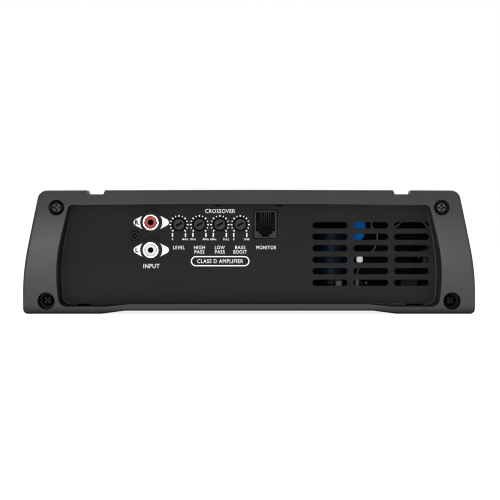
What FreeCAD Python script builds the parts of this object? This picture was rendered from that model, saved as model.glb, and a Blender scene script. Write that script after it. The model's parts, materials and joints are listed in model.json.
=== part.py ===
"""Car audio power amplifier: finned aluminium body, two moulded end frames, recessed end panels and the
electronics inside. Millimetres. X runs across the width, Y from the control end (-Y) to the terminal end
(+Y), Z up. The origin is the centre of the footprint, on the plane that the feet stand on."""

import FreeCAD, Part
import math
import os

V = FreeCAD.Vector

# ---- driving dimensions -------------------------------------------------------------------------------
HALF_WIDTH = 117.4
SHOULDER = 108.9         # half the width at the top edge, before its corner is rounded
WAIST = 21.5             # height where the sides begin to lean in
HEIGHT = 64.1            # top edge at its ends; the middle is CROWN higher
CROWN = 0.4
HALF_LENGTH = 128.0
FRAME_DEPTH = 28.0       # how much of the length each end frame takes
RECESS = 12.0            # from the frame's face back to the panel
FLOOR = 1.6              # clearance under the body between the feet
BULGE_RADIUS = 184.0     # the frame's face is bowed about a level axis
BULGE_HEIGHT = 32.0
FACE_FILLET = 1.1
PANEL_THICK = 1.2
LEDGE_THICK = 0.8        # a narrow ledge runs round the panel, this far in front of it
BODY_INSET, BODY_DROP = 0.6, 2.2         # the extrusion stands this far inside the frame's sides, and below its top
CHANNEL_FLOOR = 62.1
WEB_THICK, WEB_FOOT = 1.2, 53.7         # the frame's wall that closes the ends of the top fins

PANEL_FACE = HALF_LENGTH - RECESS
PANEL_BACK = PANEL_FACE - PANEL_THICK
BODY_END = HALF_LENGTH - FRAME_DEPTH

# screws that hold each frame to the extrusion
UPPER_SCREW = (99.9, 55.2)
LOWER_SCREW = (105.3, 6.7)
UPPER_BORE, UPPER_SEAT = 4.1, 4.5       # counterbore radius, and its floor's distance behind the face
LOWER_BORE, LOWER_SEAT = 4.5, 16.0
SHANK, HEAD, HEAD_TALL = 1.75, 2.9, 2.2
SCREW_CLEAR, SCREW_PORT, SCREW_BITE = 1.9, 1.8, 14.0

# mounting feet
MOUNT_X, MOUNT_Y, MOUNT_HOLE = 112.5, 107.5, 2.3
FOOT_THICK, FLUTE = 4.5, 4.2

# extrusion
CAVITY_HALF, CAVITY_TOP = 101.0, 49.0
CENTRE_HALF, CENTRE_TOP = 25.0, 58.0
FIN_FLOOR, FIN_PITCH, FIN_GAP = 54.0, 4.2, 2.6
FIN_FIRST, FIN_COUNT = 31.0, 15
GROOVE_DEEP, GROOVE_WIDE, GROOVE_FIRST, GROOVE_PITCH, GROOVE_COUNT = 5.0, 2.4, 17.0, 6.4, 6

# base plate and boards
PLATE_TOP, PLATE_THICK, PLATE_HALF = 3.0, 1.2, 112.0
BASE_SCREW_X, BASE_SCREW_Y = 108.0, 66.0
BOARD_LOW, BOARD_THICK = 9.0, 1.6
BOARD_TOP = BOARD_LOW + BOARD_THICK
BOARD_HALF, BOARD_FRONT, BOARD_REAR = 97.5, -101.3, 104.0
PILLAR_X, PILLAR_Y = 70.0, 91.0
INPUT_FACE = -103.0      # input board, the side the sockets and pots are soldered to
INPUT_BACK = INPUT_FACE + BOARD_THICK

# controls on the front panel
RCA_X, RCA_Z = -51.1, (47.5, 33.1)
RCA_HOLE, RCA_COLLAR, RCA_RING = 5.7, 5.6, 4.9
RCA_SHELL, RCA_SHANK, RCA_CORE, RCA_SOCKET = 4.15, 3.6, 3.2, 1.5
RCA_LIP = 3.45           # the insert's flared mouth
RCA_SCREW = (-59.8, 40.4)
KNOB_X, KNOB_PITCH, KNOB_Z = -36.6, 10.67, 46.5
KNOB_RADIUS, KNOB_HOLE = 3.0, 3.75
KNOB_NAMES = ("level", "high_pass", "low_pass", "bass_boost")
KNOB_SLOT_ANGLE, KNOB_SLOT_LONG, KNOB_SLOT_WIDE, KNOB_SLOT_DEEP = 28.0, 3.6, 1.1, 2.0
JACK_X, JACK_Z, JACK_WIDE, JACK_TALL, JACK_GAP = 8.6, 46.5, 11.6, 14.4, 0.5
VENT_X, VENT_Z, VENT_STEP_X, VENT_STEP_Z = 42.3, 46.0, 21.3, 6.0
VENT_LONG, VENT_TALL = 18.3, 3.3
VENT_COLUMNS, VENT_ROWS = 3, 6

# notches in the control panel's edge, over the frame's snap tabs: x, width, lowest and highest point. At the two
# lower ones the frame's lip is cut away as well.
UPPER_NOTCHES = ((-16.0, 3.8, 56.0, 61.0), (15.6, 3.8, 56.0, 61.0))
LOWER_NOTCHES = ((-86.3, 7.0, 3.0, 5.0), (86.5, 9.0, 3.0, 5.0))

# terminals, lamps and fan at the rear
FAN_X, FAN_Z, FAN_SIZE, FAN_DEPTH = -63.0, 31.2, 40.0, 14.5
FAN_BORE, FAN_HOLE_PITCH = 19.0, 32.0
FAN_HUB, FAN_TIP, FAN_AXLE, FAN_BLADES = 9.0, 18.4, 1.5, 7
GRILLE_RADIUS, GRILLE_PITCH, GRILLE_SLOT = 18.5, 5.2, 3.2
BLOCK_FACE, BLOCK_BACK = 124.5, 96.0
CLAMP_FACE, CLAMP_BACK = 123.7, 111.0
CLAMP_SCREW_Y = 118.0
LAMPS = {"power_lamp": 23.0, "protect_lamp": 16.0}
LAMP_Z, LAMP_RADIUS = 46.0, 1.5
ACCESS_RADIUS = 3.8

# power transistors, held against the side walls by bars
TRANSISTOR_Y = [-66 + 21 * i for i in range(6)]
TRANSISTOR_THICK, INSULATOR, CLAMP_BAR_Z = 4.8, 0.3, 29.0

# wiring behind the vents: each plug's left, right and top; the sleeve's x, foot and top
LOOM_PLUGS = ((45.7, 48.9, 16.8), (56.2, 58.0, 17.5))
LOOM_Y, LOOM_WIRE = -101.5, 0.45
SLEEVE, SLEEVE_RADIUS = (58.4, 26.4, 29.6), 1.7

# one row per terminal block: screw names and positions across, wire bore, clamp half width, heights
TERMINALS = {
    "power": ({"positive": 79.65, "negative": 57.65}, 4.4, 7.5, 20.0, 30.0, 34.5),
    "speaker": ({"speaker_positive": 2.0, "speaker_negative": -16.0}, 2.8, 5.5, 18.0, 26.0, 29.5),
    "remote": ({"remote": 33.0}, 1.8, 3.6, 17.0, 23.5, 26.5),
}


# ---- shapes --------------------------------------------------------------------------------------------
def box(x0, x1, y0, y1, z0, z1):
    return Part.makeBox(x1 - x0, y1 - y0, z1 - z0, V(x0, y0, z0))


def rod(x, z, radius, y0, y1):
    """A cylinder along Y."""
    return Part.makeCylinder(radius, y1 - y0, V(x, y0, z), V(0, 1, 0))


def post(x, y, radius, z0, z1):
    """A cylinder along Z."""
    return Part.makeCylinder(radius, z1 - z0, V(x, y, z0), V(0, 0, 1))


def beam(y, z, radius, x0, x1):
    """A cylinder along X."""
    return Part.makeCylinder(radius, x1 - x0, V(x0, y, z), V(1, 0, 0))


def outline(corners, y=0.0):
    """A closed wire in the XZ plane through (x, z, radius) corners, each rounded to its radius."""
    points = [V(x, y, z) for x, z, _ in corners]
    stops = []
    for i, corner in enumerate(points):
        radius = corners[i][2]
        back = (points[i - 1] - corner).normalize()
        on = (points[(i + 1) % len(points)] - corner).normalize()
        if not radius:
            stops.append((corner, corner, None))
            continue
        half = back.getAngle(on) / 2
        run = radius / math.tan(half)
        middle = corner + (back + on).normalize() * (radius / math.sin(half) - radius)
        stops.append((corner + back * run, corner + on * run, middle))
    edges = []
    for i, (start, end, middle) in enumerate(stops):
        if middle:
            edges.append(Part.Arc(start, middle, end).toShape())
        following = stops[(i + 1) % len(stops)][0]
        edges.append(Part.makeLine(end, following))
    return Part.Wire(edges)


def prism(corners, y0, y1):
    return Part.Face(outline(corners, y0)).extrude(V(0, y1 - y0, 0))


def both_sides(right, top_centre=None):
    """Right-hand corners, from the bottom up, followed by their mirror images."""
    left = [(-x, z, r) for x, z, r in reversed(right)]
    return right + ([top_centre] if top_centre else []) + left


def stadium(x, z, long, tall, y0, y1):
    """A level slot with round ends, cut along Y."""
    end = tall / 2
    reach = long / 2 - end
    middle = box(x - reach, x + reach, y0, y1, z - end, z + end)
    return middle.fuse([rod(x - reach, z, end, y0, y1), rod(x + reach, z, end, y0, y1)])


def union(shapes):
    first, *rest = shapes
    return first.fuse(rest).removeSplitter() if rest else first


def group(shapes):
    return Part.makeCompound(shapes)


def turned(shape):
    """The same piece at the other end: half a turn about the vertical axis."""
    copy = shape.copy()
    copy.rotate(V(0, 0, 0), V(0, 0, 1), 180)
    return copy


def mirrored(shape):
    return shape.mirror(V(0, 0, 0), V(1, 0, 0))


# ---- outlines ------------------------------------------------------------------------------------------
def flank(z):
    """Half the frame's width at height z, on the straight part of its side."""
    return HALF_WIDTH - max(0.0, z - WAIST) * (HALF_WIDTH - SHOULDER) / (HEIGHT - WAIST)


def body_corners(inset=0.0, drop=0.0, foot=0.0):
    """The end frame's outline: flared sides, a slightly crowned top and two feet. inset moves the sides in, drop
    lowers the top."""
    top = HEIGHT - drop
    side = HALF_WIDTH - inset
    feet = [(64.5, FLOOR, 12.0), (76.5, foot, 12.0)] if foot < FLOOR else []
    right = feet + [
        (side, foot, 2.6),
        (side, WAIST, 130.0),
        (flank(top) - inset, top, 5.0),
    ]
    return both_sides(right, (0.0, top + CROWN, 5000.0))


def channel(sign, y0, y1):
    """One of the two shallow channels across the frame's top edge."""
    floor = CHANNEL_FLOOR
    corners = [(73.6, HEIGHT + 3, 0), (75.6, floor, 0.3), (83.7, floor, 0.3), (85.4, HEIGHT + 3, 0)]
    shape = prism(corners, y0, y1)
    return shape if sign > 0 else mirrored(shape)


def recess_corners(side, low, high, dip=0.6):
    """The window in the end frame. side, low and high move its edges outward; dip is how far its lower edge
    sinks towards the corners."""
    right = [
        (62.0, 5.0 - low, 12.0),
        (74.0, 5.0 - low - dip, 12.0),
        (99.3 + side, 5.0 - low - dip, 4.2),
        (100.9 + side, 26.5, 90.0),
        (93.9 + side * 0.55, 56.6 + high, 2.6),
    ]
    return both_sides(right, (0.0, 57.3 + high, 5000.0))


# ---- casing --------------------------------------------------------------------------------------------
def frame_screw_places():
    """x, z, pocket radius and the pocket floor's distance behind the face."""
    for sign in (-1, 1):
        yield sign * UPPER_SCREW[0], UPPER_SCREW[1], UPPER_BORE, UPPER_SEAT
        yield sign * LOWER_SCREW[0], LOWER_SCREW[1], LOWER_BORE, LOWER_SEAT


def end_frame():
    """The moulded frame at the control end."""
    face, back = -HALF_LENGTH, -BODY_END
    bow = beam(face + BULGE_RADIUS, BULGE_HEIGHT, BULGE_RADIUS, -HALF_WIDTH - 10, HALF_WIDTH + 10)
    frame = prism(body_corners(), face, back).common(bow)
    rim = [edge for edge in frame.Edges if edge.BoundBox.YMax < face + 6]
    frame = frame.makeFillet(FACE_FILLET, rim)
    ledge = -PANEL_FACE - LEDGE_THICK
    mouth = outline(recess_corners(0, 0, 0, 1.6), face - 1)
    throat = outline(recess_corners(-2.2, -0.1, -0.1, 0.5), ledge)
    rim_hole = prism(recess_corners(-2.8, -0.4, -0.5, 0.2), ledge - 0.01, -PANEL_FACE)
    web = box(-HALF_WIDTH, HALF_WIDTH, back - WEB_THICK, back + 2, WEB_FOOT, HEIGHT)
    pocket = prism(recess_corners(0.2, 1.1, 1.9), -PANEL_FACE, back + 1).cut(web)
    cuts = [Part.makeLoft([mouth, throat], True, True), rim_hole, pocket]
    for x, wide, _, high in LOWER_NOTCHES:
        cuts.append(box(x - wide / 2, x + wide / 2, -PANEL_FACE - 3, -PANEL_FACE, high - 1.1, high + 0.5))
    for x, z, bore, seat in frame_screw_places():
        cuts.append(rod(x, z, bore, face - 1, face + seat))
        cuts.append(rod(x, z, SCREW_CLEAR, face + seat - 1, back + 1))
    for sign in (-1, 1):
        cuts.append(channel(sign, face - 1, back + 1))
        cuts.append(post(sign * MOUNT_X, -MOUNT_Y, MOUNT_HOLE, -1, FOOT_THICK + 1))
        cuts.append(post(sign * MOUNT_X, -MOUNT_Y, FLUTE, FOOT_THICK, HEIGHT + 2))
        near, far = sorted((sign * MOUNT_X, sign * (HALF_WIDTH + 5)))
        cuts.append(box(near, far, -MOUNT_Y - FLUTE, -MOUNT_Y + FLUTE, FOOT_THICK, HEIGHT + 2))
    return frame.cut(cuts)


def tapered_cross(x, z, y, long, wide, deep):
    """A cross recess sunk towards +Y from the level y, its arms narrowing as they go in."""
    arms = []
    for half_x, half_z in ((long / 2, wide / 2), (wide / 2, long / 2)):
        rings = []
        for share, level in ((1.0, y), (0.5, y + deep)):
            across, up = half_x * share, half_z * share
            signs = ((-1, -1), (1, -1), (1, 1), (-1, 1))
            rings.append(outline([(x + i * across, z + k * up, 0) for i, k in signs], level))
        arms.append(Part.makeLoft(rings, True, True))
    return arms


def frame_screw(x, z, seat_y):
    """One pan-head screw along Y, head towards -Y, with a cross recess."""
    face = seat_y - HEAD_TALL
    head = rod(x, z, HEAD, face, seat_y)
    head = head.makeFillet(1.3, [e for e in head.Edges if e.BoundBox.YMax < face + 0.01])
    shank = rod(x, z, SHANK, seat_y, -BODY_END + SCREW_BITE)
    return head.fuse(shank).cut(tapered_cross(x, z, face - 0.01, 3.6, 1.1, 1.7))


def frame_screws():
    return group([frame_screw(x, z, -HALF_LENGTH + seat) for x, z, _, seat in frame_screw_places()])


def terminal_places():
    for stations, *_ in TERMINALS.values():
        for name, x in stations.items():
            yield name, x


def rear_frame():
    """The control end's frame turned round, with driver holes over the terminal screws."""
    holes = [post(x, CLAMP_SCREW_Y, ACCESS_RADIUS, 50, HEIGHT + 2) for _, x in terminal_places()]
    return turned(end_frame()).cut(holes)


def heatsink():
    """The extrusion: top with long fins, ribbed sides and an open underside."""
    end = BODY_END
    body = prism(body_corners(BODY_INSET, BODY_DROP, FLOOR), -end, end)
    cuts = [
        box(-CAVITY_HALF, CAVITY_HALF, -end - 1, end + 1, 0, CAVITY_TOP),
        box(-CENTRE_HALF, CENTRE_HALF, -end - 1, end + 1, CAVITY_TOP - 1, CENTRE_TOP),
        box(-PLATE_HALF - 0.2, PLATE_HALF + 0.2, -end - 1, end + 1, 0, PLATE_TOP),
    ]
    for sign in (-1, 1):
        for i in range(FIN_COUNT):
            x = sign * (FIN_FIRST + i * FIN_PITCH)
            cuts.append(box(x - FIN_GAP / 2, x + FIN_GAP / 2, -end - 1, end + 1, FIN_FLOOR, HEIGHT + 2))
        for i in range(GROOVE_COUNT):
            z = GROOVE_FIRST + i * GROOVE_PITCH
            near, far = sorted((sign * (flank(z) - BODY_INSET - GROOVE_DEEP), sign * (HALF_WIDTH + 2)))
            cuts.append(box(near, far, -end - 1, end + 1, z - GROOVE_WIDE / 2, z + GROOVE_WIDE / 2))
        for x, z in (UPPER_SCREW, LOWER_SCREW):
            cuts.append(rod(sign * x, z, SCREW_PORT, -end - 1, -end + SCREW_BITE))
            cuts.append(rod(sign * x, z, SCREW_PORT, end - SCREW_BITE, end + 1))
        for y in clamp_screw_places():
            near, far = sorted((sign * (CAVITY_HALF - 1), sign * (CAVITY_HALF + 6)))
            cuts.append(beam(y, CLAMP_BAR_Z, 1.3, near, far))
        for y in (-BASE_SCREW_Y, 0, BASE_SCREW_Y):
            cuts.append(post(sign * BASE_SCREW_X, y, 1.45, 2, 10))
    return body.cut(cuts)


def base_plate():
    plate = box(-PLATE_HALF, PLATE_HALF, -BODY_END, BODY_END, PLATE_TOP - PLATE_THICK, PLATE_TOP)
    holes = [
        post(sign * BASE_SCREW_X, y, 1.6, 0, 5) for sign in (-1, 1) for y in (-BASE_SCREW_Y, 0, BASE_SCREW_Y)
    ]
    return plate.cut(holes)


def base_screws():
    low = PLATE_TOP - PLATE_THICK
    screws = []
    for sign in (-1, 1):
        for y in (-BASE_SCREW_Y, 0, BASE_SCREW_Y):
            x = sign * BASE_SCREW_X
            head = post(x, y, 2.6, low - 1.3, low)
            recess = [
                box(x - 1.3, x + 1.3, y - 0.3, y + 0.3, 0, 1),
                box(x - 0.3, x + 0.3, y - 1.3, y + 1.3, 0, 1),
            ]
            screws.append(head.fuse(post(x, y, 1.4, low, 9)).cut(recess))
    return group(screws)


def panel(y0, y1):
    """A blank end panel, a hair smaller than its seat in the frame."""
    return prism(recess_corners(0.1, 1.0, 1.8), y0, y1)


# ---- control end ---------------------------------------------------------------------------------------
def knob_places():
    for i, name in enumerate(KNOB_NAMES):
        yield name, KNOB_X + i * KNOB_PITCH


def front_panel():
    front, back = -PANEL_FACE - 1, -PANEL_BACK + 1
    cuts = [rod(RCA_X, z, RCA_HOLE, front, back) for z in RCA_Z]
    cuts.append(rod(*RCA_SCREW, 1.45, front, back))
    cuts += [rod(x, KNOB_Z, KNOB_HOLE, front, back) for _, x in knob_places()]
    cuts.append(jack_block(front, back, JACK_GAP))
    for x, wide, low, high in UPPER_NOTCHES + LOWER_NOTCHES:
        cuts.append(box(x - wide / 2, x + wide / 2, front, back, low, high))
    for column in range(VENT_COLUMNS):
        for row in range(VENT_ROWS):
            x, z = VENT_X + column * VENT_STEP_X, VENT_Z - row * VENT_STEP_Z
            cuts.append(stadium(x, z, VENT_LONG, VENT_TALL, front, back))
    return panel(-PANEL_FACE, -PANEL_BACK).cut(cuts)


def rca_housing():
    """The moulded double socket: body behind the panel, two collars through it, an ear for the screw."""
    front = -PANEL_FACE
    low, high = RCA_Z[1] - 7.2, RCA_Z[0] + 7.2
    parts = [
        box(RCA_X - 7, RCA_X + 7, -PANEL_BACK, INPUT_FACE, low, high),
        box(RCA_SCREW[0] - 3.2, RCA_X, -PANEL_BACK, INPUT_FACE, RCA_SCREW[1] - 4, RCA_SCREW[1] + 4),
    ]
    for z in RCA_Z:
        parts.append(rod(RCA_X, z, RCA_COLLAR, front - 0.5, -PANEL_BACK + 1))
        parts.append(rod(RCA_X, z, RCA_RING, front - 1.4, -PANEL_BACK + 1))
    bores = [rod(RCA_X, z, RCA_SHANK, front - 3, front + 7) for z in RCA_Z]
    bores.append(rod(*RCA_SCREW, 1.3, front, front + 10))
    return union(parts).cut(bores)


def rca_shell(z):
    """The plated sleeve that a plug grips, on a slightly thinner shank held in the housing."""
    face = -PANEL_FACE - 9.0
    sleeve = rod(RCA_X, z, RCA_SHELL, face, -PANEL_FACE - 1.7)
    sleeve = sleeve.makeFillet(0.3, [e for e in sleeve.Edges if e.BoundBox.YMax < face + 0.01])
    shank = rod(RCA_X, z, RCA_SHANK, -PANEL_FACE - 1.7, -PANEL_FACE + 7)
    bore = [rod(RCA_X, z, RCA_CORE, face - 1, -PANEL_FACE + 6), rod(RCA_X, z, RCA_LIP, face - 1, face + 2)]
    return sleeve.fuse(shank).cut(bore)


def rca_insert(z):
    """The coloured insulator inside the sleeve, flared at its mouth."""
    face = -PANEL_FACE - 8.4
    core = rod(RCA_X, z, RCA_CORE, face, -PANEL_FACE + 6).fuse(rod(RCA_X, z, RCA_LIP, face, face + 1.4))
    return core.removeSplitter().cut(rod(RCA_X, z, RCA_SOCKET, face - 1, -PANEL_FACE + 5))


def rca_contact(z):
    """The hollow contact that takes the plug's pin."""
    face = -PANEL_FACE - 1.0
    return rod(RCA_X, z, RCA_SOCKET, face, -PANEL_FACE + 5).cut(rod(RCA_X, z, 1.25, face - 1, -PANEL_FACE + 4))


def rca_screw():
    x, z = RCA_SCREW
    face = -PANEL_FACE
    head = rod(x, z, 2.4, face - 1.3, face)
    head = head.makeFillet(0.45, [e for e in head.Edges if e.BoundBox.YMax < face - 1.2])
    return head.fuse(rod(x, z, 1.25, face, face + 9)).cut(tapered_cross(x, z, face - 1.31, 3.0, 1.4, 1.1))


def pot_case(x):
    """The trim pot's case, soldered to the input board, with the bore its shaft turns in."""
    front = INPUT_FACE - 9.5
    case = box(x - 4.75, x + 4.75, front, INPUT_FACE, KNOB_Z - 5.2, KNOB_Z + 5.2)
    case = case.makeFillet(0.6, [e for e in case.Edges if e.BoundBox.YLength > 9])
    return case.cut(rod(x, KNOB_Z, 1.95, front - 1, front + 7))


def pot_shaft(x):
    case_front = INPUT_FACE - 9.5
    tip = -PANEL_FACE - 0.5
    head = rod(x, KNOB_Z, KNOB_RADIUS, tip, case_front - 0.1)
    head = head.makeFillet(0.35, [e for e in head.Edges if e.BoundBox.YMax < tip + 0.01])
    shaft = head.fuse(rod(x, KNOB_Z, 1.9, case_front - 0.2, case_front + 6.8))
    reach, half = KNOB_SLOT_LONG / 2, KNOB_SLOT_WIDE / 2
    slot = box(x - reach, x + reach, tip - 1, tip + KNOB_SLOT_DEEP, KNOB_Z - half, KNOB_Z + half)
    slot.rotate(V(x, 0, KNOB_Z), V(0, 1, 0), -KNOB_SLOT_ANGLE)
    return shaft.cut(slot)


def jack_block(y0, y1, gap=0.0):
    wide, tall = JACK_WIDE / 2 + gap, JACK_TALL / 2 + gap
    return box(JACK_X - wide, JACK_X + wide, y0, y1, JACK_Z - tall, JACK_Z + tall)


def monitor_jack():
    """Modular socket: a plug opening with the two steps of its latch way below."""
    front = -PANEL_FACE + 0.2
    depth = front + 11.0
    top = JACK_Z + JACK_TALL / 2
    opening = [
        box(JACK_X - 4.9, JACK_X + 4.9, front - 1, depth, top - 10.9, top - 0.8),
        box(JACK_X - 3.3, JACK_X + 3.3, front - 1, depth, top - 12.3, top - 5),
        box(JACK_X - 2.0, JACK_X + 2.0, front - 1, depth, top - 13.7, top - 5),
    ]
    return jack_block(front, INPUT_FACE).cut(opening)


def jack_contacts():
    """Six sprung wires along the top of the socket, sloping back into it."""
    top = JACK_Z + JACK_TALL / 2 - 0.8
    front = -PANEL_FACE + 2.0
    wires = []
    for i in range(6):
        x = JACK_X + (i - 2.5) * 1.02
        profile = [(front, top), (front + 0.5, top), (front + 6.4, top - 9.0), (front + 5.9, top - 9.3)]
        points = [V(x - 0.18, y, z) for y, z in profile]
        wires.append(Part.Face(Part.makePolygon(points + points[:1])).extrude(V(0.36, 0, 0)))
    return group(wires)


def input_board():
    """Upright board behind the panel."""
    return box(-66, 22, INPUT_FACE, INPUT_BACK, 22, 55.0)


def board_link():
    """Pin header that joins the input board to the main board."""
    link = box(-40, -8, INPUT_BACK, INPUT_BACK + 5, BOARD_TOP, 30)
    return link.cut(box(-39, -9, INPUT_BACK - 1, INPUT_BACK + 2.5, BOARD_TOP, 21))


# ---- main board and what stands on it -------------------------------------------------------------------
def clamp_screw_places():
    """Between neighbouring transistors, two screws to a bar."""
    return [TRANSISTOR_Y[0] + 10.5, TRANSISTOR_Y[-1] - 10.5]


def pillar_places():
    return [(x, y) for x in (-PILLAR_X, 0, PILLAR_X) for y in (-PILLAR_Y, PILLAR_Y)]


def main_board():
    board = box(-BOARD_HALF, BOARD_HALF, BOARD_FRONT, BOARD_REAR, BOARD_LOW, BOARD_TOP)
    return board.cut([post(x, y, 1.7, BOARD_LOW - 1, BOARD_TOP + 1) for x, y in pillar_places()])


def board_pillars():
    low = PLATE_TOP
    pillars = [post(x, y, 3.2, low, BOARD_LOW).cut(post(x, y, 1.5, low + 1, 12)) for x, y in pillar_places()]
    return group(pillars)


def board_screws():
    screws = []
    for x, y in pillar_places():
        head = post(x, y, 2.7, BOARD_TOP, BOARD_TOP + 1.8)
        slot = box(x - 3, x + 3, y - 0.3, y + 0.3, BOARD_TOP + 1, BOARD_TOP + 3)
        screws.append(head.fuse(post(x, y, 1.4, BOARD_LOW - 4, BOARD_TOP)).cut(slot))
    return group(screws)


def on_both_walls(build):
    right = build()
    return group(right + [mirrored(shape) for shape in right])


def transistors():
    """Power transistors standing against both side walls, three legs each."""
    back = CAVITY_HALF - INSULATOR
    front = back - TRANSISTOR_THICK

    def right():
        made = []
        for y in TRANSISTOR_Y:
            body = box(front, back, y - 7.8, y + 7.8, 16, 37)
            legs = [box(front + 0.4, front + 1.0, y + k - 0.6, y + k + 0.6, BOARD_TOP, 17) for k in (-5, 0, 5)]
            made.append(union([body] + legs))
        return made

    return on_both_walls(right)


def wall_span():
    return TRANSISTOR_Y[0] - 9, TRANSISTOR_Y[-1] + 9


def insulator_strips():
    def right():
        strip = box(CAVITY_HALF - INSULATOR, CAVITY_HALF, *wall_span(), 14, 39)
        return [strip.cut([beam(y, CLAMP_BAR_Z, 1.6, 95, 105) for y in clamp_screw_places()])]

    return on_both_walls(right)


def clamp_bars():
    back = CAVITY_HALF - INSULATOR - TRANSISTOR_THICK

    def right():
        bar = box(back - 2.5, back, *wall_span(), CLAMP_BAR_Z - 4, CLAMP_BAR_Z + 4)
        return [bar.cut([beam(y, CLAMP_BAR_Z, 1.6, 90, 105) for y in clamp_screw_places()])]

    return on_both_walls(right)


def clamp_screws():
    face = CAVITY_HALF - INSULATOR - TRANSISTOR_THICK - 2.5

    def right():
        made = []
        for y in clamp_screw_places():
            head = beam(y, CLAMP_BAR_Z, 2.6, face - 1.8, face)
            slot = box(face - 3, face - 1, y - 3, y + 3, CLAMP_BAR_Z - 0.3, CLAMP_BAR_Z + 0.3)
            made.append(head.fuse(beam(y, CLAMP_BAR_Z, 1.25, face, CAVITY_HALF + 5)).cut(slot))
        return made

    return on_both_walls(right)


def can(x, y, radius, top):
    """A radial electrolytic capacitor with the crimped groove near its foot."""
    shape = post(x, y, radius, BOARD_TOP, top)
    shape = shape.makeFillet(0.8, [e for e in shape.Edges if e.BoundBox.ZMin > top - 0.01])
    ring = Part.makeTorus(radius + 0.5, 0.9, V(x, y, BOARD_TOP + 3.2))
    return shape.cut(ring)


def rail_capacitors():
    """Two large cans behind the first column of vents and a row of three further back."""
    front_cans = [can(44.0, y, 10.5, 43.5) for y in (-84, -59)]
    return group(front_cans + [can(-20 + 20 * i, 8, 9.0, 46) for i in range(3)])


def surge_disc():
    """An upright oval surge absorber on two legs that lean back to the board."""
    x, z, half_wide, half_tall, front, thick = 56.6, 44.4, 5.1, 7.2, -105.0, 4.0
    oval = Part.Ellipse(V(x, front, z + half_tall), V(x + half_wide, front, z), V(x, front, z))
    disc = Part.Face(Part.Wire([oval.toShape()])).extrude(V(0, thick, 0))
    disc = disc.makeFillet(1.4, [e for e in disc.Edges if e.BoundBox.YLength < 0.1])
    legs = []
    for leg_x in (53.2, 55.5):
        top = V(leg_x, front + thick / 2, z - 5)
        foot = V(leg_x, BOARD_FRONT + 1.6, BOARD_TOP + 0.1)
        legs.append(Part.makeCylinder(0.4, (top - foot).Length, foot, top - foot))
    return union([disc] + legs)


def film_capacitors():
    """Box-shaped capacitors by the transformer and the output inductors."""
    blocks = [(82, 91, -66, -50, 18.5), (42, 60, 30, 38, 25), (-60, -42, 84, 91, 25)]
    return group([box(x0, x1, y0, y1, BOARD_TOP, top) for x0, x1, y0, y1, top in blocks])


def ring(x, y, inner, outer, low, high):
    return post(x, y, outer, low, high).cut(post(x, y, inner, low - 1, high + 1))


def wound_ring(x, y, inner, outer, low, high, wire):
    """A ring core and the winding laid all round it."""
    core = ring(x, y, inner + wire, outer - wire, low + wire, high - wire)
    winding = ring(x, y, inner, outer, low, high).cut(core)
    return core, winding


def wound_rings():
    transformer = wound_ring(-48, -32, 9.0, 26.0, BOARD_TOP, BOARD_TOP + 26.0, 2.2)
    coils = [wound_ring(x, y, 5.0, 15.0, BOARD_TOP, BOARD_TOP + 14.0, 1.6) for x, y in ((-4, 52), (30, 58))]
    return transformer, coils


def driver_chips():
    """Dual in-line packages on the main board."""
    places = [(-78, -86), (-62, -86), (-30, -84), (-10, -84), (10, -84), (16, -44), (16, -62)]
    chips = []
    for x, y in places:
        body = box(x - 3.2, x + 3.2, y - 5.0, y + 5.0, BOARD_TOP + 0.6, BOARD_TOP + 3.9)
        notch = post(x, y - 5.0, 0.9, BOARD_TOP + 3, BOARD_TOP + 5)
        legs = []
        for sign in (-1, 1):
            near, far = sorted((sign * 3.2, sign * 3.8))
            for k in range(4):
                leg = y - 3.81 + 2.54 * k
                legs.append(box(x + near, x + far, leg - 0.35, leg + 0.35, BOARD_TOP, BOARD_TOP + 2.2))
        chips.append(union([body.cut(notch)] + legs))
    return group(chips)


def pipe(points, radius):
    """A round wire along a smooth curve through the points."""
    curve = Part.BSplineCurve()
    curve.interpolate([V(*p) for p in points])
    path = Part.Wire([curve.toShape()])
    start = curve.value(curve.FirstParameter)
    tangent = curve.tangent(curve.FirstParameter)[0]
    circle = Part.Wire([Part.Circle(start, tangent, radius).toShape()])
    return path.makePipeShell([circle], True, True)


def loom_paths():
    """Centre lines of the sleeved wire, which loops across under the lid, and of the short one."""
    x, low, high = SLEEVE
    plug_y = BOARD_FRONT + 1.8
    end = BOARD_TOP + 0.6
    sleeved = [
        (57.1, plug_y, LOOM_PLUGS[1][2] - 1),
        (57.2, plug_y - 0.4, 21),
        (x, LOOM_Y, low),
        (x, LOOM_Y, high),
        (62.0, LOOM_Y, 31.0),
        (65.6, LOOM_Y, 33.0),
        (67.4, LOOM_Y, 38.0),
        (67.4, LOOM_Y, 42.0),
        (64.6, LOOM_Y, 45.6),
        (64.8, -101.0, 47.6),
        (68.5, -100.0, 48.3),
        (72.4, -100.5, 48.0),
        (74.8, -101.5, 46.4),
        (77.0, -102.0, 45.2),
        (79.0, -101.5, 46.4),
        (81.4, -100.5, 48.1),
        (86.0, -99.0, 48.3),
        (92.0, -98.0, 47.6),
        (95.6, -98.0, 42.0),
        (95.6, -98.5, 20.0),
        (95.6, -98.5, end),
    ]
    short = [
        (47.3, plug_y, LOOM_PLUGS[0][2] - 1),
        (47.6, -99.3, 18.4),
        (51.0, -97.0, 19.5),
        (57.0, -95.0, 17.5),
        (60.5, -90.0, 13.5),
        (61.0, -88.0, end),
    ]
    return sleeved, short


def loom_blanks():
    """The two board plugs and the sleeve, before the wires are let into them."""
    parts = [box(x0, x1, BOARD_FRONT + 0.3, BOARD_FRONT + 3.3, BOARD_TOP, top) for x0, x1, top in LOOM_PLUGS]
    x, low, high = SLEEVE
    sleeve = post(x, LOOM_Y, SLEEVE_RADIUS, low, high)
    return parts + [sleeve.makeFillet(0.9, [e for e in sleeve.Edges if e.BoundBox.ZLength < 0.1])]


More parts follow.
